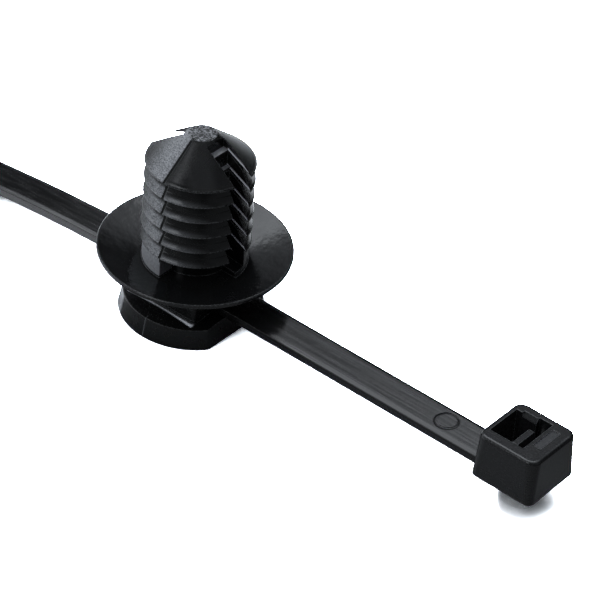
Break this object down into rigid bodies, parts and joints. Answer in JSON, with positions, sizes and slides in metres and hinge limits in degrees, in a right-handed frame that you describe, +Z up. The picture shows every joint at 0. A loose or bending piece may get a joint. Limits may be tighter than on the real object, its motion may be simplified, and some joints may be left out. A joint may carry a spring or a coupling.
{
  "type": "fir tree cable tie",
  "caption": "Cable tie with a separate push-in fir tree mount threaded on its strap, for fixing a cable bundle to a hole in a panel.",
  "frame": {"origin": "centre of the mount's flat foot", "axes": "+Z up the barbed tree, +X along the level strap towards the head"},
  "size_m": [0.1495, 0.0226, 0.0244],
  "materials": {
    "tie_nylon": "black nylon, satin gloss",
    "mount_nylon": "black nylon, satin with eroded grain on part of the tree"
  },
  "bodies": {
    "mount": {"fir_tree_mount": "mount_nylon"},
    "tie": {"cable_tie": "tie_nylon"}
  },
  "joints": [
    {"name": "strap_slide", "type": "slide", "parent": "mount", "child": "tie", "axis": [-1, 0, 0], "range_m": [0, 0.032]}
  ]
}
